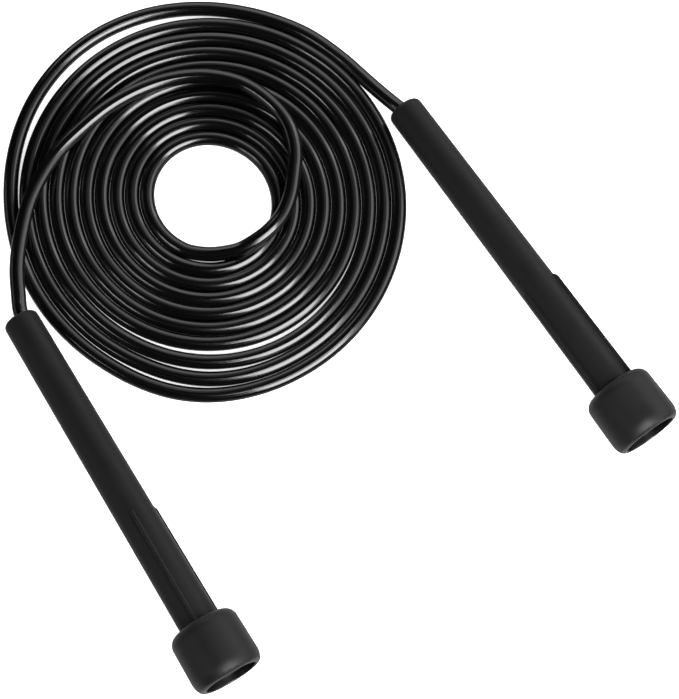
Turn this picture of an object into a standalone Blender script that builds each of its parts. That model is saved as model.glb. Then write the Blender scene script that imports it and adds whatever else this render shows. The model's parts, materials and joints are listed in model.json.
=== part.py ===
"""A skipping rope laid out on a table: one PVC rope wound in a flat coil, and a slim hollow handle on each end.

Run with: blender --background --python part.py
Units are metres, +Z is up, and the origin is on the table under the middle of the two handles.
Each handle is modelled upright in a frame of its own, with +Z along its axis from the tip, where the rope
goes in, to the rear, and +X on its upper side. It is then laid down on its tip and on its end cap.
"""

import math

import bmesh
import bpy
from mathutils import Matrix, Vector

MM = 0.001
GAP = 0.3 * MM  # left between any two pieces that touch

# Rope
ROPE_RADIUS = 2.6 * MM
ROPE_HOLE_RADIUS = ROPE_RADIUS + GAP
ROPE_POINT_SPACING = 12 * MM
# How the rope goes into a handle: distance along the handle's axis from the tip, and how far the rope leans
# off that axis towards the coil. It leans on the mouth's lip and is centred from the washer on.
ROPE_ENTRY = ((-3 * MM, 1.9 * MM), (0, 1.1 * MM), (2 * MM, 0.5 * MM), (4.6 * MM, 0.1 * MM), (25 * MM, 0))

# Coil: its solid is the outer shape of the flat turns inside the first, which is loose and has its own tube
COIL_CENTRE = Vector((-46.2 * MM, 71.1 * MM, 0))
COIL_OUTER_RADIUS = 67.6 * MM
COIL_INNER_RADIUS = 19.6 * MM
COIL_SEGMENTS = 64
COIL_HEIGHT = 2 * ROPE_RADIUS
COIL_EDGE = 1.2 * MM

# Handle: a moulded tube with a slight draft, plain in front and with three long ribs behind
HANDLE_LENGTH = 148 * MM  # from the tip to the end cap's rear rim
TIP_RADIUS = 6.4 * MM
DRAFT = 0.0065  # growth of the tube's radius for each metre along it
TIP_ROUNDING = 2.2 * MM
BORE_RADIUS = 4.8 * MM
TIP_WALL = 4.0 * MM
THROAT_RADIUS = 3.2 * MM  # the rope's hole through the tip's wall
MOUTH_DEPTH = 3.2 * MM  # the hole flares over this depth, up to the tip's rounded edge
MOUTH_RADIUS = TIP_RADIUS - TIP_ROUNDING
MOUTH_STEPS = 5
TUBE_SEGMENTS = 40
RIB_COUNT = 3
RIB_START = 82 * MM
RIB_HEIGHT = 1.3 * MM
RIB_THICKNESS = 1.2 * MM
RIB_ROOT = 1.0 * MM  # how deep a rib's block reaches into the tube's wall

# End cap: a rubber sleeve over the tube's rear end, with a recess in its rear face
CAP_LENGTH = 21.5 * MM
CAP_REAR_RADIUS = 12.8 * MM
CAP_FRONT_RADIUS = 12.5 * MM
CAP_FRONT_ROUNDING = 4.0 * MM
CAP_REAR_ROUNDING = 2.4 * MM
CAP_REAR_STRETCH = 1.9  # how much longer the rear edge's rounding is along the axis than inwards
CAP_MOUTH_RADIUS = 9.6 * MM
CAP_RECESS_DEPTH = 4.6 * MM
CAP_SEGMENTS = 48
CAP_FRONT = HANDLE_LENGTH - CAP_LENGTH
CAP_SHOULDER = HANDLE_LENGTH - CAP_RECESS_DEPTH
TUBE_END = CAP_SHOULDER

# End plug: a disc at the bottom of the cap's recess, with a hollow spigot in the tube's bore
PLUG_FLANGE = 2.0 * MM
PLUG_SPIGOT_LENGTH = 7.0 * MM
PLUG_WALL = 1.2 * MM

# Washer and crimped stopper, which hold the rope behind the tip's wall
WASHER_RADIUS = 4.3 * MM
WASHER_THICKNESS = 1.2 * MM
STOPPER_RADIUS = 3.9 * MM
STOPPER_LENGTH = 10 * MM
STOPPER_CHAMFER = 0.5 * MM
SMALL_SEGMENTS = 24

# Each handle: where its tip stands over the table, which way its axis runs seen from above, the turn of its
# first rib from straight up, and on which side of it (+Y or -Y of its own frame) the coil lies
RESTING_LENGTH = CAP_FRONT + CAP_FRONT_ROUNDING - TIP_ROUNDING
AXIS_RISE = math.asin((CAP_FRONT_RADIUS - TIP_RADIUS) / RESTING_LENGTH)
TIP_HEIGHT = TIP_RADIUS * math.cos(AXIS_RISE) - TIP_ROUNDING * math.sin(AXIS_RISE)
HANDLES = {
    "left": {"tip": (-112.4 * MM, 25.8 * MM), "heading": -58.9, "first_rib": 5.0, "coil_side": -1},
    "right": {"tip": (23.1 * MM, 103.8 * MM), "heading": -55.2, "first_rib": 60.0, "coil_side": 1},
}

# Routes of the rope between the coil's solid and each tip, as azimuth round the coil's centre in degrees,
# distance from it and height of the rope's centre line, in millimetres. The right one is the loose first turn.
RIGHT_ROUTE = (
    (315, 70.9, 2.7), (290, 72.3, 2.7), (265, 72.2, 2.7), (240, 70.9, 2.7), (215, 70.7, 2.7),
    (190, 71.1, 2.7), (165, 72.7, 2.7), (150, 73.9, 2.7), (135, 74.3, 2.7), (120, 74.0, 2.7),
    (105, 73.0, 2.7), (85, 71.5, 2.7), (65, 70.7, 2.7), (48, 70.7, 2.8), (38.4, 71.2, 3.5),
    (31.6, 72.7, 4.9),
)
LEFT_ROUTE = (
    (300, 23.4, 8.2), (328, 25.6, 8.2), (358, 29.0, 8.2), (28, 34.8, 8.2), (44, 38.6, 8.2),
    (59, 40.9, 8.2), (90, 44.3, 8.2), (120, 46.3, 8.2), (136, 48.5, 8.2), (151, 51.6, 8.2),
    (166, 57.0, 8.2), (181, 63.1, 8.2), (193.6, 68.3, 8.2), (202.4, 72.8, 7.9), (209.6, 76.5, 7.0),
)

COLOURS = {
    "rope": (0.012, 0.012, 0.013, 0.22, 0.0),
    "handle": (0.028, 0.027, 0.028, 0.6, 0.0),
    "cap": (0.03, 0.03, 0.031, 0.7, 0.0),
    "plug": (0.02, 0.02, 0.021, 0.3, 0.0),
    "washer": (0.75, 0.75, 0.72, 0.45, 0.0),
    "stopper": (0.7, 0.7, 0.71, 0.35, 1.0),
}


def clear_scene():
    for old in list(bpy.data.objects):
        bpy.data.objects.remove(old, do_unlink=True)


def material(kind):
    """The Principled material of one kind of piece, made once."""
    found = bpy.data.materials.get(kind)
    if found:
        return found
    red, green, blue, roughness, metallic = COLOURS[kind]
    made = bpy.data.materials.new(kind)
    made.use_nodes = True
    shader = made.node_tree.nodes["Principled BSDF"]
    shader.inputs["Base Color"].default_value = (red, green, blue, 1)
    shader.inputs["Roughness"].default_value = roughness
    shader.inputs["Metallic"].default_value = metallic
    return made


def link(name, data, kind):
    piece = bpy.data.objects.new(name, data)
    data.materials.append(material(kind))
    bpy.context.scene.collection.objects.link(piece)
    return piece


def arc(centre_along, centre_radius, size, start, end, steps=4):
    """Points of a rounded edge, as (distance along the axis, radius); angles are from the axis, in degrees."""
    turns = [math.radians(start + (end - start) * k / steps) for k in range(steps + 1)]
    return [(centre_along + size * math.cos(t), centre_radius + size * math.sin(t)) for t in turns]


def turned(name, outline, segments, kind):
    """A piece turned about Z from an outline of (distance along the axis, radius) points.

    An outline whose first and last points lie on the axis makes a solid piece, and any other one is closed
    into a ring.
    """
    shape = bmesh.new()
    corners = [shape.verts.new((radius, 0, along)) for along, radius in outline]
    on_axis = outline[0][1] == 0 and outline[-1][1] == 0
    pairs = list(zip(corners, corners[1:])) + ([] if on_axis else [(corners[-1], corners[0])])
    edges = [shape.edges.new(pair) for pair in pairs]
    bmesh.ops.spin(
        shape, geom=corners + edges, cent=(0, 0, 0), axis=(0, 0, 1), angle=math.tau,
        steps=segments, use_merge=True, use_duplicate=False,
    )
    bmesh.ops.remove_doubles(shape, verts=shape.verts, dist=1e-7)
    bmesh.ops.recalc_face_normals(shape, faces=shape.faces)
    data = bpy.data.meshes.new(name)
    shape.to_mesh(data)
    shape.free()
    data.shade_smooth()
    data.set_sharp_from_angle(angle=math.radians(40))
    return link(name, data, kind)


def tube_radius(along):
    return TIP_RADIUS + DRAFT * along


def rib_blocks(name, first_rib):
    """The three ribs as one guide object of separate blocks, which a Boolean joins to the tube."""
    shape = bmesh.new()
    end = CAP_FRONT - GAP
    for number in range(RIB_COUNT):
        block = bmesh.ops.create_cube(shape, size=1.0)["verts"]
        for corner in block:
            along = RIB_START if corner.co.z < 0 else end
            surface = tube_radius(along)
            corner.co.z = along
            corner.co.x = surface - RIB_ROOT if corner.co.x < 0 else surface + RIB_HEIGHT
            corner.co.y *= RIB_THICKNESS
        turn = Matrix.Rotation(math.radians(first_rib + 360 / RIB_COUNT * number), 3, "Z")
        bmesh.ops.rotate(shape, cent=(0, 0, 0), matrix=turn, verts=block)
    bmesh.ops.recalc_face_normals(shape, faces=shape.faces)
    data = bpy.data.meshes.new(name)
    shape.to_mesh(data)
    shape.free()
    guide = link(name, data, "handle")
    guide.hide_render = True
    guide.display_type = "WIRE"
    return guide


def handle_tube(side, first_rib):
    """The moulded tube, open at the rear and with the rope's flared hole in its tip, and its ribs."""
    outline = arc(TIP_ROUNDING, TIP_RADIUS - TIP_ROUNDING, TIP_ROUNDING, 180, 90)
    outline += [
        (TUBE_END, tube_radius(TUBE_END)),
        (TUBE_END, BORE_RADIUS),
        (TIP_WALL, BORE_RADIUS),
        (TIP_WALL, THROAT_RADIUS),
    ]
    for step in range(MOUTH_STEPS):
        turn = math.radians(90 * step / MOUTH_STEPS)
        flare = (MOUTH_RADIUS - THROAT_RADIUS) * (1 - math.cos(turn))
        outline.append((MOUTH_DEPTH * (1 - math.sin(turn)), THROAT_RADIUS + flare))
    tube = turned(f"handle_{side}", outline, TUBE_SEGMENTS, "handle")
    guide = rib_blocks(f"rib_guide_{side}", first_rib)
    guide.parent = tube
    join = tube.modifiers.new("ribs", "BOOLEAN")
    join.operation = "UNION"
    join.solver = "EXACT"
    join.object = guide
    return tube


def end_cap(side):
    """The rubber cap: a sleeve over the tube, with rounded shoulders and a wide recess at the rear."""
    seat = tube_radius(TUBE_END) + GAP
    outline = [(CAP_FRONT, seat)]
    outline += arc(
        CAP_FRONT + CAP_FRONT_ROUNDING, CAP_FRONT_RADIUS - CAP_FRONT_ROUNDING, CAP_FRONT_ROUNDING, 180, 90
    )
    rear_edge = arc(-CAP_REAR_ROUNDING, CAP_REAR_RADIUS - CAP_REAR_ROUNDING, CAP_REAR_ROUNDING, 90, 0)
    outline += [(HANDLE_LENGTH + CAP_REAR_STRETCH * behind, radius) for behind, radius in rear_edge]
    outline += [
        (HANDLE_LENGTH, CAP_MOUTH_RADIUS),
        (CAP_SHOULDER, CAP_MOUTH_RADIUS),
        (CAP_SHOULDER, seat),
    ]
    return turned(f"end_cap_{side}", outline, CAP_SEGMENTS, "cap")


def end_plug(side):
    """The disc that closes the tube inside the cap's recess, with its hollow spigot."""
    front = CAP_SHOULDER + GAP
    rear = front + PLUG_FLANGE
    spigot = BORE_RADIUS - GAP
    floor = front + PLUG_WALL / 2
    outline = [
        (floor, 0),
        (floor, spigot - PLUG_WALL),
        (front - PLUG_SPIGOT_LENGTH, spigot - PLUG_WALL),
        (front - PLUG_SPIGOT_LENGTH, spigot),
        (front, spigot),
        (front, CAP_MOUTH_RADIUS - GAP),
        (rear, CAP_MOUTH_RADIUS - GAP),
        (rear, 0),
    ]
    return turned(f"end_plug_{side}", outline, SMALL_SEGMENTS, "plug")


def washer(side):
    front = TIP_WALL + GAP
    rear = front + WASHER_THICKNESS
    outline = [
        (front, ROPE_HOLE_RADIUS), (front, WASHER_RADIUS), (rear, WASHER_RADIUS), (rear, ROPE_HOLE_RADIUS),
    ]
    return turned(f"washer_{side}", outline, SMALL_SEGMENTS, "washer")


def rope_stopper(side):
    """The metal ferrule crimped on the rope's end, which the washer bears on."""
    front = TIP_WALL + GAP + WASHER_THICKNESS + GAP
    rear = front + STOPPER_LENGTH
    chamfered = STOPPER_RADIUS - STOPPER_CHAMFER
    outline = [
        (front, ROPE_HOLE_RADIUS),
        (front, chamfered),
        (front + STOPPER_CHAMFER, STOPPER_RADIUS),
        (rear - STOPPER_CHAMFER, STOPPER_RADIUS),
        (rear, chamfered),
        (rear, ROPE_HOLE_RADIUS),
    ]
    return turned(f"rope_stopper_{side}", outline, SMALL_SEGMENTS, "stopper")


def handle_matrix(place):
    """Where a handle lies: on its tip and on its cap's front shoulder, its axis rising to the cap."""
    heading = math.radians(place["heading"])
    flat = Vector((math.cos(heading), math.sin(heading), 0))
    axis = flat * math.cos(AXIS_RISE) + Vector((0, 0, math.sin(AXIS_RISE)))
    side = axis.cross(Vector((0, 0, 1))).normalized()
    upper = side.cross(axis)
    turn = Matrix((upper, side, axis)).transposed().to_4x4()
    return Matrix.Translation((*place["tip"], TIP_HEIGHT)) @ turn


def build_handle(side):
    """All the pieces of one handle, parented to an empty on its axis at the tip."""
    place = HANDLES[side]
    holder = bpy.data.objects.new(f"handle_axis_{side}", None)
    bpy.context.scene.collection.objects.link(holder)
    pieces = [handle_tube(side, place["first_rib"]), end_cap(side), end_plug(side), washer(side)]
    for piece in pieces + [rope_stopper(side)]:
        piece.parent = holder
    holder.matrix_world = handle_matrix(place)


def coil_solid():
    """The outer shape of the coil as one flat turned ring, with eased edges."""
    outline = [
        (0, COIL_INNER_RADIUS + COIL_EDGE), (0, COIL_OUTER_RADIUS - COIL_EDGE),
        (COIL_EDGE, COIL_OUTER_RADIUS), (COIL_HEIGHT - COIL_EDGE, COIL_OUTER_RADIUS),
        (COIL_HEIGHT, COIL_OUTER_RADIUS - COIL_EDGE), (COIL_HEIGHT, COIL_INNER_RADIUS + COIL_EDGE),
        (COIL_HEIGHT - COIL_EDGE, COIL_INNER_RADIUS), (COIL_EDGE, COIL_INNER_RADIUS),
    ]
    coil = turned("rope_coil", outline, COIL_SEGMENTS, "rope")
    coil.location = COIL_CENTRE


def route_points(route):
    """A route's own points as places in the frame."""
    places = []
    for azimuth, distance, height in route:
        turn = math.radians(azimuth)
        flat = Vector((math.cos(turn), math.sin(turn), 0)) * distance * MM
        places.append(COIL_CENTRE + flat + Vector((0, 0, height * MM)))
    return places


def smooth_curve(points, spacing):
    """Points about evenly spaced along a Catmull-Rom curve through the given points."""
    ends = [points[0] * 2 - points[1], *points, points[-1] * 2 - points[-2]]
    dense = []
    for before, start, end, after in zip(ends, ends[1:], ends[2:], ends[3:]):
        for step in range(20):
            t = step / 20
            dense.append(0.5 * (
                2 * start + (end - before) * t + (2 * before - 5 * start + 4 * end - after) * t ** 2
                + (3 * start - before - 3 * end + after) * t ** 3
            ))
    dense.append(points[-1])
    lengths = [0.0]
    for near, far in zip(dense, dense[1:]):
        lengths.append(lengths[-1] + (far - near).length)
    count = max(2, round(lengths[-1] / spacing))
    chosen = []
    for number in range(count + 1):
        wanted = lengths[-1] * number / count
        index = next(i for i in range(1, len(lengths)) if lengths[i] >= wanted - 1e-9)
        share = (wanted - lengths[index - 1]) / (lengths[index] - lengths[index - 1])
        chosen.append(dense[index - 1].lerp(dense[index], share))
    return chosen


def rope_lead(side, route):
    """The rope from the coil's solid through one handle's flared mouth to its end in the stopper."""
    place = handle_matrix(HANDLES[side])
    coil_side = HANDLES[side]["coil_side"]
    entry = [place @ Vector((0, lean * coil_side, along)) for along, lean in ROPE_ENTRY]
    points = smooth_curve(route_points(route) + entry[:1], ROPE_POINT_SPACING) + entry[1:]
    data = bpy.data.curves.new(f"rope_lead_{side}", "CURVE")
    data.dimensions = "3D"
    data.bevel_depth = ROPE_RADIUS
    data.bevel_resolution = 4
    data.use_fill_caps = True
    line = data.splines.new("POLY")
    line.points.add(len(points) - 1)
    for knot, point in zip(line.points, points):
        knot.co = (*point, 1)
    link(f"rope_lead_{side}", data, "rope")


clear_scene()
for handle_side in HANDLES:
    build_handle(handle_side)
coil_solid()
rope_lead("right", RIGHT_ROUTE)
rope_lead("left", LEFT_ROUTE)
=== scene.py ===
"""The looks of the skipping rope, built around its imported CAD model.

One PVC rope is swept as a mesh tube along its coil and its two leads. Each handle, end cap and
end plug is a finely lofted mesh that stands for its plainer CAD node. The washers and stoppers
are the CAD's own meshes with finished materials. Metres, +Z up, the same frame as the CAD.
"""

import json
import math

import bmesh
import bpy
import numpy as np
from mathutils import Matrix, Vector


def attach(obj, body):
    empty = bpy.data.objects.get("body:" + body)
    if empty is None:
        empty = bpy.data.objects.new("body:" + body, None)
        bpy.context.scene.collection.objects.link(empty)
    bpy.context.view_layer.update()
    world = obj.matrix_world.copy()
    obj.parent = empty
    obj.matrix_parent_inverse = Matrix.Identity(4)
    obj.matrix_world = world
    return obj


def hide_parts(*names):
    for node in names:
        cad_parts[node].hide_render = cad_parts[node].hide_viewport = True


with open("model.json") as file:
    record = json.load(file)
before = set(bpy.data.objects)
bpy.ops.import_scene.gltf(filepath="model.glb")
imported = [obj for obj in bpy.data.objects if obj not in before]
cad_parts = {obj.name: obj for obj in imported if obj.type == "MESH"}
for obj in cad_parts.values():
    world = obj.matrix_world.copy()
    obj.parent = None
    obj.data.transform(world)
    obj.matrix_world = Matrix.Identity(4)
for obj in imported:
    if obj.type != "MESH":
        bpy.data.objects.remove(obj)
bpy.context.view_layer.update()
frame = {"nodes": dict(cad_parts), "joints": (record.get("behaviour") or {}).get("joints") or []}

MM = 0.001

# Camera: a long lens, tilted a little from straight down
CAMERA_TARGET = Vector((0.33 * MM, 15.83 * MM, 0))
CAMERA_TILT = 13.3  # degrees from straight down
CAMERA_DISTANCE = 841.7 * MM
CAMERA_LENS = 122.67
CAMERA_CLIP_START = 10 * MM
SENSOR_SIZE = 36.0

# Lights: softboxes that all face one point. The bounce light lies under the floor, which throws
# no shadow, and stands for the light that a white table throws back at the object's sides.
LIGHT_TARGET = Vector((0, 0.02, 0))
LIGHTS = (
    # name, azimuth, height over the floor in degrees, distance, width, length, power
    ("key_light", -53, 48, 0.75, 0.64, 0.44, 9.4),
    ("left_light", -150, 40, 1.3, 0.09, 0.45, 1.4),
    ("left_low_light", 195, 12, 1.5, 0.35, 2.0, 1.8),
    ("right_light", 5, 23, 1.5, 1.35, 2.4, 17),
    ("back_light", 84, 22, 1.5, 1.3, 2.6, 12.5),
    ("sky_light", 42, 55, 1.5, 1.2, 2.2, 2.3),
    ("bounce_light", -90, -89, 0.35, 1.6, 1.6, 4),
)
FILL_STRENGTH = 1.5

# Floor
FLOOR_HALF_SIDE = 3.0
FLOOR_DROP = 0.1 * MM  # under z = 0, so that it clears the rope, which reaches 0.08 mm below that
FLOOR_WHITE = 0.95
FLOOR_GLOW = 0.55

# Rope
ROPE_RADIUS = 2.68 * MM  # a little over the CAD's 2.6, so that the turns touch each other
ROPE_SIDES = 24
ROPE_STEP = 1.5 * MM
CURVE_SAMPLES = 24  # points worked out between two knots before they are spaced evenly
UV_UNIT = 10 * MM  # the length of rope that one unit of its UV map stands for

# Coil: a flat spiral that closes in towards its centre. Azimuths are in degrees from +X,
# counter-clockwise seen from above, and radii are in millimetres. The first turn is loose.
COIL_CENTRE = Vector((-46.2, 71.1))
COIL_HEIGHT = 2.6
COIL_FIRST = 60
COIL_LAST = 3495
COIL_STEP = 10
COIL_START_RADIUS = 73.2
COIL_PITCH = 5.39  # how much one turn closes in
COIL_OFFSET = (0.93, 100)  # the turns lie a little off centre: how far, and the azimuth's phase
COIL_OVAL = (0.71, 40)  # and are a little oval: how much, and the azimuth's phase
# Where strands lie further out than the spiral: turned angle, half width in degrees, how far
COIL_BULGES = (
    (130, 62, 2.85),
    (281, 68, 1.4), (272, 32, 0.8), (259, 27, 0.5),
    (643, 66, 1.3), (632, 30, 0.8),
    (1003, 66, 1.3),
)

# Routes of the rope's ends, as azimuth, distance from the coil's centre and height, in degrees
# and millimetres. The right one comes before the coil, and the left one climbs from the coil's
# last turn and crosses over it.
RIGHT_ROUTE = ((31.6, 72.7, 4.9), (38.4, 71.2, 3.5), (48, 70.6, 2.8))
LEFT_ROUTE = (
    (270, 21.2, 3.0), (285, 21.7, 3.9), (299, 22.9, 5.2), (313, 23.9, 6.6), (328, 25.6, 7.7),
    (343, 27.4, 7.85), (358, 29.0, 7.8), (13, 31.0, 7.8), (28, 34.7, 7.8), (44, 38.4, 7.8),
    (59, 40.6, 7.8), (74, 42.7, 7.8), (90, 44.0, 7.8), (105, 44.9, 7.8), (120, 46.1, 7.8),
    (136, 48.3, 7.8), (151, 51.5, 7.8), (166, 57.0, 7.8), (181, 63.1, 7.8), (193.6, 68.3, 7.8),
    (202.4, 72.8, 7.7), (209.6, 76.5, 7.0),
)
# How the rope goes into a handle: distance along the axis from the tip, and how far it lies off
# the axis towards the coil, both in millimetres
ROPE_ENTRY = ((-3, 1.9), (0, 1.1), (2, 0.5), (4.6, 0.1), (13, 0), (25, 0))
COIL_SIDE = {"left": -1, "right": 1}  # the coil's side of each handle, as a sign along its +Y

# Handle
HANDLE_LENGTH = 148 * MM  # from the tip to the end cap's rear rim
TIP_RADIUS = 6.4 * MM
DRAFT = 0.0065  # how much the tube's radius grows over its length
TIP_ROUNDING = 2.2 * MM
THROAT_RADIUS = 3.2 * MM
THROAT_EASE = 0.2 * MM
MOUTH_DEPTH = 3.2 * MM
MOUTH_RADIUS = TIP_RADIUS - TIP_ROUNDING
MOUTH_STEPS = 8
TIP_WALL = 4.0 * MM
BORE_RADIUS = 4.8 * MM
BORE_EASE = 0.3 * MM
TUBE_STEP = 4 * MM  # between the rings along the outside of the tube
BORE_STEP = 15 * MM  # between the rings along its bore

# Ribs
RIB_COUNT = 3
FIRST_RIB = {"left": 5.0, "right": 60.0}  # degrees about the axis from the handle's upper side
RIB_START = 82 * MM
RIB_RISE = 2.4 * MM  # the front end of a rib slopes over this length
RIB_RISE_STEPS = 6
RIB_HEIGHT = 1.3 * MM
RIB_CREST = 0.5 * MM  # the flat top's width
RIB_FLANK = 0.6 * MM  # how wide each rounded side is
RIB_MARGIN = 1.15  # the fine columns reach past a rib's foot by this ratio
RIB_COLUMNS = 23
PLAIN_COLUMNS = 26  # between two ribs, with the two that the ribs already have
SURFACE_TOLERANCE = 0.01 * MM  # how far under the outside a point still counts as on it

# End cap
CAP_SIDES = 96
CAP_LENGTH = 21.5 * MM
CAP_FRONT = HANDLE_LENGTH - CAP_LENGTH
CAP_REAR_RADIUS = 12.8 * MM
CAP_FRONT_RADIUS = 12.5 * MM
CAP_FRONT_ROUNDING = 4.0 * MM
CAP_FRONT_LIP = 0.5 * MM
CAP_FRONT_LIP_SAG = 0.3  # where the lip's middle point lies, as a share of the lip
CAP_REAR_ROUNDING = 2.4 * MM
CAP_REAR_STRETCH = 1.9  # the rear edge's rounding is this much longer along the axis than inwards
CAP_MOUTH_RADIUS = 9.6 * MM
CAP_MOUTH_EASE = 0.4 * MM
CAP_RECESS_DEPTH = 4.6 * MM
CAP_RECESS_STEP = 2 * MM
CAP_SHOULDER = HANDLE_LENGTH - CAP_RECESS_DEPTH  # the recess's floor
TUBE_END = CAP_SHOULDER
CAP_LIP = 0.6 * MM  # the rear lip is worn shiny over this length, and its colour is painted lighter there as a highlight line
CAP_WALL_ALLOWANCE = 0.1 * MM  # a face this close outside the mouth's wall still belongs to it

# End plug
PLUG_SIDES = 72
SEAT_GAP = 0.3 * MM
PLUG_FLANGE = 2.0 * MM
PLUG_SPIGOT_LENGTH = 7.0 * MM
PLUG_WALL = 1.2 * MM
PLUG_EASE = 0.4 * MM
PLUG_GROOVE_DEPTH = 0.8 * MM
PLUG_GROOVE_FLAT = 0.6 * MM  # the groove's level floor outside the raised ring
PLUG_GROOVE_SLOPE = 0.8 * MM  # the width of its sloping wall
PLUG_RING_OUTER = 6.4 * MM  # a raised ring on the rear face
PLUG_RING_INNER = 4.6 * MM
PLUG_DISH_FLAT = 1.0 * MM  # the level floor inside the ring
PLUG_DISH_STEP = 0.3 * MM  # the middle stands up by this much
PLUG_AXIS_RADIUS = 0.05 * MM  # the smallest ring, which a fan closes

NOISE_MIDDLE = (0.3, 0.7)  # nearly all of a noise texture's values lie between these
WELD_DISTANCE = 0.001 * MM
SHARP_ANGLE = 50  # edges that bend by more degrees than this stay crisp


# ---------------------------------------------------------------- the handles' places


def handle_frames():
    """Each handle's matrix: +Z along its axis from the tip, +X to its upper side, +Y beside it."""
    found = {}
    for joint in frame["joints"]:
        if not joint["name"].startswith("handle_"):
            continue
        side = joint["name"].split("_")[1]
        axis = Vector(joint["axis"]).normalized()
        beside = axis.cross(Vector((0, 0, 1))).normalized()
        turn = Matrix((beside.cross(axis), beside, axis)).transposed().to_4x4()
        found[side] = Matrix.Translation(Vector(joint["pos_m"])) @ turn
    return found


HANDLE_FRAMES = handle_frames()


# ---------------------------------------------------------------- camera, floor and lights


def look_at(thing, place, target, up=Vector((0, 1, 0))):
    back = (place - target).normalized()
    right = up.cross(back).normalized()
    turn = Matrix((right, back.cross(right), back)).transposed().to_4x4()
    thing.matrix_world = Matrix.Translation(place) @ turn


def add_camera():
    data = bpy.data.cameras.new("camera")
    data.lens = CAMERA_LENS
    data.sensor_width = SENSOR_SIZE
    data.clip_start = CAMERA_CLIP_START
    camera = bpy.data.objects.new("camera", data)
    bpy.context.scene.collection.objects.link(camera)
    tilt = math.radians(CAMERA_TILT)
    back = Vector((0, -math.sin(tilt), math.cos(tilt)))
    look_at(camera, CAMERA_TARGET + back * CAMERA_DISTANCE, CAMERA_TARGET)
    bpy.context.scene.camera = camera


def area_light(name, azimuth, height, distance, width, length, power):
    """A softbox that faces LIGHT_TARGET. Its length runs level, across its own direction."""
    data = bpy.data.lights.new(name, "AREA")
    data.shape = "RECTANGLE"
    data.size = length
    data.size_y = width
    data.energy = power
    light = bpy.data.objects.new(name, data)
    light.visible_camera = False
    bpy.context.scene.collection.objects.link(light)
    around, up = math.radians(azimuth), math.radians(height)
    direction = Vector((
        math.cos(around) * math.cos(up), math.sin(around) * math.cos(up), math.sin(up)
    ))
    look_at(light, LIGHT_TARGET + direction * distance, LIGHT_TARGET, up=Vector((0, 0, 1)))


def add_lights():
    """The softboxes, and a white world that fills in but shows in no reflection."""
    for light in LIGHTS:
        area_light(*light)
    world = bpy.data.worlds.new("studio")
    world.use_nodes = True
    background = world.node_tree.nodes["Background"]
    background.inputs["Color"].default_value = (1, 1, 1, 1)
    background.inputs["Strength"].default_value = FILL_STRENGTH
    world.cycles_visibility.glossy = False
    bpy.context.scene.world = world


def add_floor():
    """A matt white table, bright enough that only the closest shadows show on it.

    It glows a little of its own, shows in no reflection and throws no shadow.
    """
    side = FLOOR_HALF_SIDE
    data = bpy.data.meshes.new("floor")
    corners = [(-side, -side, 0), (side, -side, 0), (side, side, 0), (-side, side, 0)]
    data.from_pydata(corners, [], [(0, 1, 2, 3)])
    floor = bpy.data.objects.new("floor", data)
    bpy.context.scene.collection.objects.link(floor)
    floor.location.z = -FLOOR_DROP
    white, _, shader = new_material(
        "white_table", (FLOOR_WHITE, FLOOR_WHITE, FLOOR_WHITE), roughness=0.9, specular=0.0
    )
    shader.inputs["Emission Color"].default_value = (1, 1, 1, 1)
    shader.inputs["Emission Strength"].default_value = FLOOR_GLOW
    data.materials.append(white)
    floor.visible_glossy = False
    floor.visible_shadow = False


# ---------------------------------------------------------------- materials


def new_material(name, colour, roughness, specular=0.5):
    made = bpy.data.materials.new(name)
    made.use_nodes = True
    shader = made.node_tree.nodes["Principled BSDF"]
    shader.inputs["Base Color"].default_value = (*colour, 1)
    shader.inputs["Roughness"].default_value = roughness
    shader.inputs["Specular IOR Level"].default_value = specular
    return made, made.node_tree, shader


def add_bump(tree, shader, height, strength, distance, below=None):
    """A bump on the shader from the height socket, over an earlier bump's normal if given."""
    bump = tree.nodes.new("ShaderNodeBump")
    bump.inputs["Strength"].default_value = strength
    bump.inputs["Distance"].default_value = distance
    tree.links.new(height, bump.inputs["Height"])
    if below:
        tree.links.new(below, bump.inputs["Normal"])
    tree.links.new(bump.outputs["Normal"], shader.inputs["Normal"])
    return bump.outputs["Normal"]


def noise(tree, coordinates, scale, detail, stretch=None):
    """A noise texture with so many cells to a unit, stretched by a mapping if asked."""
    texture = tree.nodes.new("ShaderNodeTexNoise")
    texture.inputs["Scale"].default_value = scale
    texture.inputs["Detail"].default_value = detail
    if stretch:
        mapping = tree.nodes.new("ShaderNodeMapping")
        mapping.inputs["Scale"].default_value = stretch
        tree.links.new(coordinates, mapping.inputs["Vector"])
        coordinates = mapping.outputs["Vector"]
    tree.links.new(coordinates, texture.inputs["Vector"])
    return texture.outputs["Fac"]


def vary_roughness(tree, shader, value, low, high):
    """Roughness from low to high as a noise goes over NOISE_MIDDLE."""
    node = tree.nodes.new("ShaderNodeMapRange")
    node.inputs["From Min"].default_value = NOISE_MIDDLE[0]
    node.inputs["From Max"].default_value = NOISE_MIDDLE[1]
    node.inputs["To Min"].default_value = low
    node.inputs["To Max"].default_value = high
    tree.links.new(value, node.inputs["Value"])
    tree.links.new(node.outputs["Result"], shader.inputs["Roughness"])


def pvc_material():
    """Glossy black PVC with faint lines along it from the extrusion die."""
    made, tree, shader = new_material("rope_pvc", (0.001, 0.001, 0.0011), 0.14, specular=0.8)
    places = tree.nodes.new("ShaderNodeTexCoord")
    lines = noise(tree, places.outputs["UV"], 1.0, detail=2.0, stretch=(0.08, 30.0, 1.0))
    wobble = noise(tree, places.outputs["Object"], 260.0, detail=1.0)
    normal = add_bump(tree, shader, lines, strength=0.25, distance=0.35 * MM)
    add_bump(tree, shader, wobble, strength=0.03, distance=0.25 * MM, below=normal)
    vary_roughness(tree, shader, lines, 0.1, 0.2)
    return made


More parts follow.
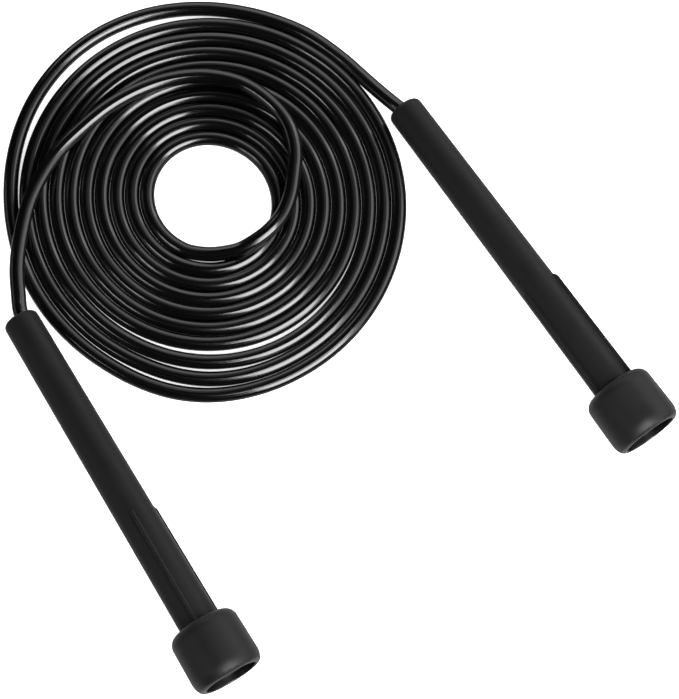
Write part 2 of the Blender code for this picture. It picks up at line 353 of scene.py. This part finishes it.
def plastic_material():
    """Black moulded plastic with a fine spark-eroded grain."""
    made, tree, shader = new_material(
        "handle_plastic", (0.0015, 0.0011, 0.0017), 0.5, specular=0.25
    )
    shader.inputs["Sheen Weight"].default_value = 0.03
    places = tree.nodes.new("ShaderNodeTexCoord")
    grain = noise(tree, places.outputs["Object"], 2600.0, detail=2.0)
    cloud = noise(tree, places.outputs["Object"], 90.0, detail=3.0)
    normal = add_bump(tree, shader, grain, strength=0.5, distance=0.05 * MM)
    add_bump(tree, shader, cloud, strength=0.15, distance=0.3 * MM, below=normal)
    vary_roughness(tree, shader, cloud, 0.46, 0.56)
    return made


def rubber_material():
    """Matte black rubber, a little dusty, with a fine skin."""
    made, tree, shader = new_material("cap_rubber", (0.0007, 0.0005, 0.0009), 0.5, specular=0.33)
    shader.inputs["Sheen Weight"].default_value = 0.04
    places = tree.nodes.new("ShaderNodeTexCoord")
    grain = noise(tree, places.outputs["Object"], 1900.0, detail=3.0)
    cloud = noise(tree, places.outputs["Object"], 120.0, detail=3.0)
    normal = add_bump(tree, shader, grain, strength=0.5, distance=0.07 * MM)
    add_bump(tree, shader, cloud, strength=0.2, distance=0.4 * MM, below=normal)
    vary_roughness(tree, shader, cloud, 0.44, 0.54)
    return made


def recess_material():
    """The unscuffed, smoother rubber inside an end cap's recess."""
    made, tree, shader = new_material("cap_recess", (0.0006, 0.0006, 0.0007), 0.3)
    places = tree.nodes.new("ShaderNodeTexCoord")
    grain = noise(tree, places.outputs["Object"], 1500.0, detail=2.0)
    add_bump(tree, shader, grain, strength=0.3, distance=0.05 * MM)
    return made


def worn_lip_highlight_material():
    """Rubber that use has worn shiny on an end cap's rear lip, with a lighter colour that paints a
    highlight line along it.
    """
    # The colour, lighter than the rubber's, is a painted highlight along the lip; the low roughness
    # and high specular are the wear's own shine
    made, tree, shader = new_material("worn_lip_painted_highlight", (0.006, 0.0055, 0.0062), 0.28, specular=1.0)
    places = tree.nodes.new("ShaderNodeTexCoord")
    cloud = noise(tree, places.outputs["Object"], 240.0, detail=2.0)
    add_bump(tree, shader, cloud, strength=0.2, distance=0.1 * MM)
    vary_roughness(tree, shader, cloud, 0.24, 0.33)
    return made


def gloss_material():
    """The shiny black plastic of the end plugs."""
    made, tree, shader = new_material("plug_plastic", (0.001, 0.001, 0.0011), 0.15, specular=0.9)
    places = tree.nodes.new("ShaderNodeTexCoord")
    cloud = noise(tree, places.outputs["Object"], 300.0, detail=2.0)
    add_bump(tree, shader, cloud, strength=0.2, distance=0.15 * MM)
    vary_roughness(tree, shader, cloud, 0.1, 0.2)
    return made


def nylon_material():
    """The milky nylon of the washers."""
    made, tree, shader = new_material("washer_nylon", (0.72, 0.71, 0.66), 0.4)
    places = tree.nodes.new("ShaderNodeTexCoord")
    cloud = noise(tree, places.outputs["Object"], 900.0, detail=2.0)
    add_bump(tree, shader, cloud, strength=0.2, distance=0.06 * MM)
    shader.inputs["Subsurface Weight"].default_value = 0.1
    shader.inputs["Subsurface Radius"].default_value = (1 * MM, 1 * MM, 1 * MM)
    return made


def metal_material():
    """The bare aluminium of the crimped stoppers, with a fine uneven surface."""
    made, tree, shader = new_material("stopper_metal", (0.62, 0.62, 0.63), 0.3)
    shader.inputs["Metallic"].default_value = 1.0
    places = tree.nodes.new("ShaderNodeTexCoord")
    scratch = noise(tree, places.outputs["Object"], 1400.0, detail=2.0)
    add_bump(tree, shader, scratch, strength=0.3, distance=0.05 * MM)
    vary_roughness(tree, shader, scratch, 0.24, 0.42)
    return made


# ---------------------------------------------------------------- meshes


def grid_piece(name, rings, closed_ends=(), uv_lengths=None):
    """A mesh over rings of points, each ring closed on itself and joined to the next one.

    closed_ends lists the rings' numbers, 0 or -1, that are filled with a fan. The faces look
    outward when the rings run clockwise about the direction in which they follow each other.
    """
    count, sides = rings.shape[:2]
    points = [tuple(point) for ring in rings for point in ring]
    faces = []
    for row in range(count - 1):
        for column in range(sides):
            beside = (column + 1) % sides
            faces.append((
                row * sides + column, row * sides + beside,
                (row + 1) * sides + beside, (row + 1) * sides + column,
            ))
    for end in closed_ends:
        first = 0 if end == 0 else (count - 1) * sides
        middle = len(points)
        points.append(tuple(rings[end].mean(axis=0)))
        for column in range(sides):
            pair = (first + column, first + (column + 1) % sides)
            faces.append((middle, pair[1], pair[0]) if end == 0 else (middle, *pair))
    data = bpy.data.meshes.new(name)
    data.from_pydata(points, [], faces)
    data.validate()
    if uv_lengths is not None:
        add_tube_uv(data, faces, uv_lengths, sides)
    data.shade_smooth()
    piece = bpy.data.objects.new(name, data)
    bpy.context.scene.collection.objects.link(piece)
    return piece


def add_tube_uv(data, faces, lengths, sides):
    """UVs of a tube: how far along it in UV_UNITs, and how far round it from 0 to 1.

    The middles of its closed ends come after the last ring and get no place on the map.
    """
    layer = data.uv_layers.new(name="along_around")
    flat = []
    for face in faces:
        for place, corner in enumerate(face):
            row, column = divmod(corner, sides)
            if row >= len(lengths):
                flat += [0.0, 0.0]
                continue
            wraps = len(face) == 4 and column == 0 and place in (1, 2)
            flat += [lengths[row] / UV_UNIT, 1.0 if wraps else column / sides]
    layer.data.foreach_set("uv", flat)


def even_turns(sides):
    """The angles of a ring's points, evenly spaced."""
    return np.linspace(0, math.tau, sides, endpoint=False)


def turned_rings(outline, turns, rise=None):
    """Rings of an outline of (distance along the axis, radius) points at the angles in turns.

    rise(distance along, turns, radius) adds to the radii, for what stands up from the round.
    """
    rings = np.zeros((len(outline), len(turns), 3))
    for row, (along, radius) in enumerate(outline):
        radii = np.full(len(turns), radius)
        if rise is not None:
            radii = radii + rise(along, turns, radius)
        rings[row, :, 0] = radii * np.cos(turns)
        rings[row, :, 1] = radii * np.sin(turns)
        rings[row, :, 2] = along
    return rings


def weld(piece):
    """Joins the points that coincide where an outline closes, and marks the crisp edges."""
    shape = bmesh.new()
    shape.from_mesh(piece.data)
    bmesh.ops.remove_doubles(shape, verts=shape.verts, dist=WELD_DISTANCE)
    bmesh.ops.recalc_face_normals(shape, faces=shape.faces)
    shape.to_mesh(piece.data)
    shape.free()
    piece.data.shade_smooth()
    piece.data.set_sharp_from_angle(angle=math.radians(SHARP_ANGLE))


def finish_piece(piece, body, material, slot, *nodes):
    piece.data.materials.append(material)
    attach(piece, body)
    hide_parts(*nodes)


def second_material(piece, side, material, chosen):
    """Gives the material to the faces whose middle, in the handle's frame, is chosen."""
    number = len(piece.data.materials)
    piece.data.materials.append(material)
    to_handle = HANDLE_FRAMES[side].inverted()
    for face in piece.data.polygons:
        place = to_handle @ face.center
        if chosen(place.z, place.xy.length):
            face.material_index = number


# ---------------------------------------------------------------- rope


def polar_point(azimuth, distance, height):
    turn = math.radians(azimuth)
    return Vector((
        (COIL_CENTRE.x + distance * math.cos(turn)) * MM,
        (COIL_CENTRE.y + distance * math.sin(turn)) * MM,
        height * MM,
    ))


def coil_radius(turned):
    """The coil's radius in millimetres where the rope has turned by so many degrees."""
    radius = COIL_START_RADIUS - COIL_PITCH * turned / 360
    radius += COIL_OFFSET[0] * math.cos(math.radians(turned + COIL_OFFSET[1]))
    radius += COIL_OVAL[0] * math.cos(math.radians(2 * (turned + COIL_OVAL[1])))
    for centre, half_width, height in COIL_BULGES:
        share = (turned - centre) / half_width
        if abs(share) < 1:
            radius += height * math.cos(math.radians(90 * share)) ** 2
    return radius


def entry_points(side):
    place = HANDLE_FRAMES[side]
    return [
        place @ Vector((0, lean * COIL_SIDE[side] * MM, along * MM)) for along, lean in ROPE_ENTRY
    ]


def rope_knots():
    """The rope's own points, from its end in the right handle, by the coil, to the left one."""
    knots = entry_points("right")[::-1]
    knots += [polar_point(*point) for point in RIGHT_ROUTE]
    for turned in range(COIL_FIRST, COIL_LAST + 1, COIL_STEP):
        knots.append(polar_point(turned, coil_radius(turned), COIL_HEIGHT))
    knots += [polar_point(*point) for point in LEFT_ROUTE]
    knots += entry_points("left")
    return knots


def smooth_curve(points, spacing):
    """Points evenly spaced along a centripetal Catmull-Rom curve through the given points."""
    points = [np.array(point) for point in points]
    ends = [2 * points[0] - points[1], *points, 2 * points[-1] - points[-2]]
    dense = []
    for p0, p1, p2, p3 in zip(ends, ends[1:], ends[2:], ends[3:]):
        t1 = math.sqrt(np.linalg.norm(p1 - p0))
        t2 = t1 + math.sqrt(np.linalg.norm(p2 - p1))
        t3 = t2 + math.sqrt(np.linalg.norm(p3 - p2))
        for t in np.linspace(t1, t2, CURVE_SAMPLES, endpoint=False):
            a1 = p0 * (t1 - t) / t1 + p1 * t / t1
            a2 = p1 * (t2 - t) / (t2 - t1) + p2 * (t - t1) / (t2 - t1)
            a3 = p2 * (t3 - t) / (t3 - t2) + p3 * (t - t2) / (t3 - t2)
            b1 = a1 * (t2 - t) / t2 + a2 * t / t2
            b2 = a2 * (t3 - t) / (t3 - t1) + a3 * (t - t1) / (t3 - t1)
            dense.append(b1 * (t2 - t) / (t2 - t1) + b2 * (t - t1) / (t2 - t1))
    dense.append(points[-1])
    dense = np.array(dense)
    lengths = np.concatenate([[0], np.cumsum(np.linalg.norm(np.diff(dense, axis=0), axis=1))])
    wanted = np.linspace(0, lengths[-1], round(lengths[-1] / spacing) + 1)
    return np.stack([np.interp(wanted, lengths, dense[:, axis]) for axis in range(3)], axis=1)


def tube_rings(path, radius, sides):
    """Rings round a path. Each starts on its lower side, where the UV seam is out of sight."""
    tangents = np.gradient(path, axis=0)
    tangents /= np.linalg.norm(tangents, axis=1)[:, None]
    side = np.cross(tangents, [0, 0, 1])
    side /= np.linalg.norm(side, axis=1)[:, None]
    upper = np.cross(side, tangents)
    turns = even_turns(sides)
    cos, sin = np.cos(turns)[None, :, None], np.sin(turns)[None, :, None]
    return path[:, None, :] + radius * (side[:, None, :] * sin - upper[:, None, :] * cos)


def build_rope():
    path = smooth_curve(rope_knots(), ROPE_STEP)
    lengths = np.linspace(0, (len(path) - 1) * ROPE_STEP, len(path))
    rings = tube_rings(path, ROPE_RADIUS, ROPE_SIDES)
    rope = grid_piece("rope", rings, closed_ends=(0, -1), uv_lengths=lengths)
    finish_piece(
        rope, "rope", pvc_material(), "rope_pvc", "rope_coil", "rope_lead_left", "rope_lead_right"
    )


# ---------------------------------------------------------------- handles, caps and plugs


def arc(centre_along, centre_radius, size, start, end, steps=8):
    """Points of a rounded edge, as (distance along the axis, radius).

    The angles start and end are in degrees from the axis.
    """
    turns = [math.radians(start + (end - start) * k / steps) for k in range(steps + 1)]
    return [(centre_along + size * math.cos(t), centre_radius + size * math.sin(t)) for t in turns]


def spaced(start, end, step):
    """Distances from start to end, about a step apart, without the first one."""
    count = max(1, round(abs(end - start) / step))
    return [start + (end - start) * number / count for number in range(1, count + 1)]


def closed_turned(name, outline, turns, side, rise=None):
    """A ring-shaped piece, whose outline closes on itself, laid in a handle's frame."""
    rings = turned_rings(outline, turns, rise)
    piece = grid_piece(name, np.concatenate([rings, rings[:1]]))
    weld(piece)
    piece.data.transform(HANDLE_FRAMES[side])
    return piece


def tube_radius(along):
    return TIP_RADIUS + DRAFT * along


def rib_rise(along, turns, radius, first_rib):
    """How far the ribs stand up from the tube at a distance along it and at each angle."""
    if radius < tube_radius(along) - SURFACE_TOLERANCE or along < RIB_START:
        return np.zeros(len(turns))
    grown = min(1.0, (along - RIB_START) / RIB_RISE)
    height = RIB_HEIGHT * math.sin(math.radians(90 * grown))
    pitch = math.tau / RIB_COUNT
    away = (turns - math.radians(first_rib) + pitch / 2) % pitch - pitch / 2
    sideways = np.abs(away) * (radius + RIB_HEIGHT / 2)
    wall = np.clip((RIB_CREST / 2 + RIB_FLANK - sideways) / RIB_FLANK, 0, 1)
    return height * wall * wall * (3 - 2 * wall)


def handle_columns(first_rib):
    """Angles of the handle's columns: fine at the ribs' walls, coarser between them."""
    radius = tube_radius(RIB_START) + RIB_HEIGHT / 2
    near = RIB_MARGIN * (RIB_CREST / 2 + RIB_FLANK) / radius
    pitch = math.tau / RIB_COUNT
    fine = np.linspace(-near, near, RIB_COLUMNS)
    coarse = np.linspace(near, pitch - near, PLAIN_COLUMNS)[1:-1]
    one = np.concatenate([fine, coarse])
    start = math.radians(first_rib)
    return np.concatenate([one + start + number * pitch for number in range(RIB_COUNT)])


def handle_outline():
    """The tube's profile: out of the flared mouth, over the tip, along the outside, up the bore."""
    outline = []
    for step in range(MOUTH_STEPS + 1):
        turn = math.radians(90 * step / MOUTH_STEPS)
        flare = (MOUTH_RADIUS - THROAT_RADIUS) * (1 - math.cos(turn))
        outline.append((MOUTH_DEPTH * (1 - math.sin(turn)), THROAT_RADIUS + flare))
    outline += arc(TIP_ROUNDING, MOUTH_RADIUS, TIP_ROUNDING, 180, 90)[1:]
    rib_front = [
        RIB_START + RIB_RISE * step / RIB_RISE_STEPS for step in range(-1, RIB_RISE_STEPS + 2)
    ]
    stations = spaced(TIP_ROUNDING, rib_front[0], TUBE_STEP) + rib_front[1:]
    stations += spaced(rib_front[-1], TUBE_END, TUBE_STEP)
    outline += [(along, tube_radius(along)) for along in stations]
    bore_end = TUBE_END - BORE_EASE
    outline += [(TUBE_END, BORE_RADIUS + BORE_EASE), (bore_end, BORE_RADIUS)]
    outline += [(along, BORE_RADIUS) for along in spaced(bore_end, TIP_WALL, BORE_STEP)]
    outline += [(TIP_WALL, THROAT_RADIUS + THROAT_EASE), (TIP_WALL - THROAT_EASE, THROAT_RADIUS)]
    return outline


def build_handle(side, plastic):
    first_rib = FIRST_RIB[side]
    piece = closed_turned(
        f"handle_{side}_moulding", handle_outline(), handle_columns(first_rib), side,
        rise=lambda along, turns, radius: rib_rise(along, turns, radius, first_rib),
    )
    finish_piece(piece, f"handle_{side}", plastic, "handle_plastic", f"handle_{side}")


def cap_outline():
    """The rubber cap's profile, from its front lip over the outside and into the rear recess."""
    seat = tube_radius(TUBE_END) + SEAT_GAP
    lip = CAP_FRONT_LIP
    sag = CAP_FRONT_LIP_SAG * lip
    ease = CAP_MOUTH_EASE
    front = CAP_FRONT_RADIUS - CAP_FRONT_ROUNDING
    rear = CAP_REAR_RADIUS - CAP_REAR_ROUNDING
    outline = [(CAP_FRONT + lip, seat), (CAP_FRONT + sag, seat + sag), (CAP_FRONT, seat + lip)]
    outline += arc(CAP_FRONT + CAP_FRONT_ROUNDING, front, CAP_FRONT_ROUNDING, 180, 90, steps=12)
    rear_edge = arc(-CAP_REAR_ROUNDING, rear, CAP_REAR_ROUNDING, 90, 0, steps=12)
    outline += [(HANDLE_LENGTH + CAP_REAR_STRETCH * behind, radius) for behind, radius in rear_edge]
    outline += arc(HANDLE_LENGTH - ease, CAP_MOUTH_RADIUS + ease, ease, 0, -90, steps=5)
    recess = spaced(HANDLE_LENGTH - ease, CAP_SHOULDER, CAP_RECESS_STEP)
    outline += [(along, CAP_MOUTH_RADIUS) for along in recess]
    outline += [(CAP_SHOULDER, seat)]
    return outline


def on_cap_lip(along, radius):
    return along > HANDLE_LENGTH - CAP_LIP and radius > CAP_MOUTH_RADIUS + CAP_WALL_ALLOWANCE


def in_cap_recess(along, radius):
    return along > CAP_SHOULDER and radius < CAP_MOUTH_RADIUS + CAP_WALL_ALLOWANCE


def build_cap(side, rubber, recess, worn_lip_highlight):
    piece = closed_turned(f"end_cap_{side}_rubber", cap_outline(), even_turns(CAP_SIDES), side)
    finish_piece(piece, f"cap_{side}", rubber, "cap_rubber", f"end_cap_{side}")
    second_material(piece, side, recess, in_cap_recess)
    # the rear lip gets the lighter colour of the painted highlight
    second_material(piece, side, worn_lip_highlight, on_cap_lip)


def plug_outline():
    """The plug's profile, from the axis inside its hollow spigot to the axis on its rear face."""
    front = CAP_SHOULDER + SEAT_GAP
    rear = front + PLUG_FLANGE
    rim = CAP_MOUTH_RADIUS - SEAT_GAP
    spigot = BORE_RADIUS - SEAT_GAP
    spigot_floor = front + PLUG_WALL / 2
    spigot_end = front - PLUG_SPIGOT_LENGTH
    ease = PLUG_EASE
    outline = [
        (spigot_floor, PLUG_AXIS_RADIUS), (spigot_floor, spigot - PLUG_WALL),
        (spigot_end, spigot - PLUG_WALL), (spigot_end, spigot - ease),
        (spigot_end + ease, spigot), (front, spigot), (front, rim - ease / 2),
        (front + ease / 2, rim),
    ]
    outline += arc(rear - ease, rim - ease, ease, 90, 0, steps=5)
    groove = rear - PLUG_GROOVE_DEPTH
    groove_edge = PLUG_RING_OUTER + PLUG_GROOVE_FLAT
    outline += [(rear, groove_edge + PLUG_GROOVE_SLOPE), (groove, groove_edge)]
    ring_middle = (PLUG_RING_OUTER + PLUG_RING_INNER) / 2
    ring_half = (PLUG_RING_OUTER - PLUG_RING_INNER) / 2
    outline += arc(groove, ring_middle, ring_half, 90, -90, steps=10)
    dish = groove + PLUG_DISH_STEP
    dish_edge = PLUG_RING_INNER - PLUG_DISH_FLAT
    outline += [(groove, dish_edge), (dish, dish_edge - PLUG_GROOVE_SLOPE)]
    outline += [(dish, PLUG_AXIS_RADIUS)]
    return outline


def build_plug(side, gloss):
    rings = turned_rings(plug_outline(), even_turns(PLUG_SIDES))
    piece = grid_piece(f"end_plug_{side}_disc", rings, closed_ends=(0, -1))
    weld(piece)
    piece.data.transform(HANDLE_FRAMES[side])
    finish_piece(piece, f"cap_{side}", gloss, "plug_plastic", f"end_plug_{side}")


def dress_cad_node(name, material):
    """A CAD node that stays as it is and gets a finished material."""
    data = frame["nodes"][name].data
    data.materials.clear()
    data.materials.append(material)


# ---------------------------------------------------------------- the scene

add_camera()
build_rope()

plastic = plastic_material()
rubber = rubber_material()
recess = recess_material()
gloss = gloss_material()
worn_lip_highlight = worn_lip_highlight_material()
nylon = nylon_material()
metal = metal_material()
for handle_side in ("left", "right"):
    build_handle(handle_side, plastic)
    build_cap(handle_side, rubber, recess, worn_lip_highlight)
    build_plug(handle_side, gloss)
    dress_cad_node(f"washer_{handle_side}", nylon)
    dress_cad_node(f"rope_stopper_{handle_side}", metal)

add_floor()
add_lights()
bpy.context.scene.view_settings.view_transform = "Standard"  # so that a white table stays white
